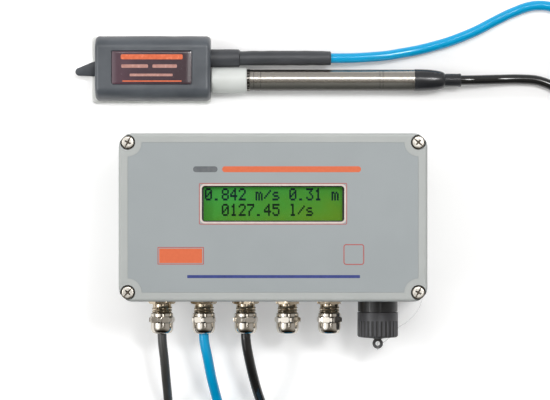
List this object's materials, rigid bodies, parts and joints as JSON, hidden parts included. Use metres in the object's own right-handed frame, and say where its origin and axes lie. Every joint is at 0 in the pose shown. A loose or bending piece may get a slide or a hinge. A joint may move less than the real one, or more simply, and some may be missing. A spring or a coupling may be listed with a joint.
{
  "type": "area-velocity flow meter",
  "caption": "Flow meter set: die-cast meter box with character display, cable glands and capped data socket, wired to a velocity probe and a tubular depth probe, cables coiled.",
  "frame": {"origin": "centre of the meter box's back face", "axes": "+X to the right along the box's length, +Y up its front, +Z out of the front"},
  "size_m": [0.4131, 0.4624, 0.08],
  "materials": {
    "cast_grey": "satin light grey stoved paint on a die casting",
    "overlay_grey": "matt printed polyester film, blue grey",
    "seal_rubber": "matt black rubber",
    "screw_steel": "bright stainless steel",
    "nickel_brass": "bright nickel plate on brass",
    "clear_window": "clear polycarbonate",
    "display_black": "black lacquered steel",
    "display_green": "lit green character display",
    "backlight_white": "milky white light guide",
    "board_green": "green solder mask",
    "terminal_green": "green moulded terminals",
    "chip_black": "matt black moulding compound",
    "can_blue": "sleeved aluminium can",
    "ribbon_grey": "grey flat cable",
    "socket_black": "black moulded nylon",
    "contact_gold": "gold plated contacts",
    "clear_line": "clear nylon line",
    "probe_grey": "dark slate grey cast resin, satin",
    "label_plum": "glossy domed resin over a dark plum label",
    "crystal_cream": "ceramic transducer discs",
    "sleeve_grey": "dark grey shrunk sleeve, satin",
    "nose_white": "white acetal",
    "ring_dark": "black and silver castellated ring",
    "tube_steel": "turned stainless steel",
    "boot_black": "glossy black rubber boot",
    "cable_black": "glossy black cable jacket",
    "cable_blue": "bright blue cable jacket"
  },
  "bodies": {
    "box": {"enclosure_base": "cast_grey", "enclosure_cover": "cast_grey", "cover_gasket": "seal_rubber", "cover_screws": "screw_steel", "front_overlay": "overlay_grey", "display_window": "clear_window", "lcd_bezel": "display_black", "lcd_glass": "display_green", "lcd_backlight": "backlight_white", "lcd_board": "board_green", "small_screws": "screw_steel", "main_board": "board_green", "terminal_blocks": "terminal_green", "board_chips": "chip_black", "board_capacitors": "can_blue", "power_module": "chip_black", "ribbon_cable": "ribbon_grey", "gland_1_body": "nickel_brass", "gland_2_body": "nickel_brass", "gland_3_body": "nickel_brass", "gland_4_body": "nickel_brass", "gland_5_body": "nickel_brass", "gland_1_nut": "nickel_brass", "gland_2_nut": "nickel_brass", "gland_3_nut": "nickel_brass", "gland_4_nut": "nickel_brass", "gland_5_nut": "nickel_brass", "gland_seals": "seal_rubber", "gland_washers": "seal_rubber", "gland_locknuts": "nickel_brass", "blanking_plugs": "socket_black", "socket_body": "socket_black", "socket_washer": "seal_rubber", "socket_nut": "socket_black", "socket_insert": "socket_black", "socket_pins": "contact_gold", "cap_lanyard": "clear_line", "lanyard_anchor": "screw_steel", "velocity_body": "probe_grey", "velocity_label": "label_plum", "velocity_crystals": "crystal_cream", "velocity_boot": "sleeve_grey", "velocity_sleeve": "sleeve_grey", "depth_nose": "nose_white", "depth_ring": "ring_dark", "depth_tube": "tube_steel", "depth_cell": "tube_steel", "depth_boot": "boot_black", "power_cable": "cable_black", "power_coil": "cable_black", "power_tail": "cable_black", "velocity_cable_a": "cable_blue", "velocity_coil": "cable_blue", "velocity_cable_b": "cable_blue", "depth_cable_a": "cable_black", "depth_coil": "cable_black", "depth_cable_b": "cable_black"},
    "cap": {"cap_plug": "socket_black", "cap_seal": "seal_rubber"},
    "cap_ring": {"cap_ring": "socket_black"}
  },
  "joints": [
    {"name": "cap_pull", "type": "slide", "parent": "box", "child": "cap", "axis": [0, -1, 0], "range_m": [0, 0.026], "deforming": ["cap_lanyard"]},
    {"name": "cap_ring_turn", "type": "hinge", "parent": "cap", "child": "cap_ring", "pos_m": [0.0763, -0.0785, 0.032], "axis": [0, -1, 0], "continuous": true}
  ]
}
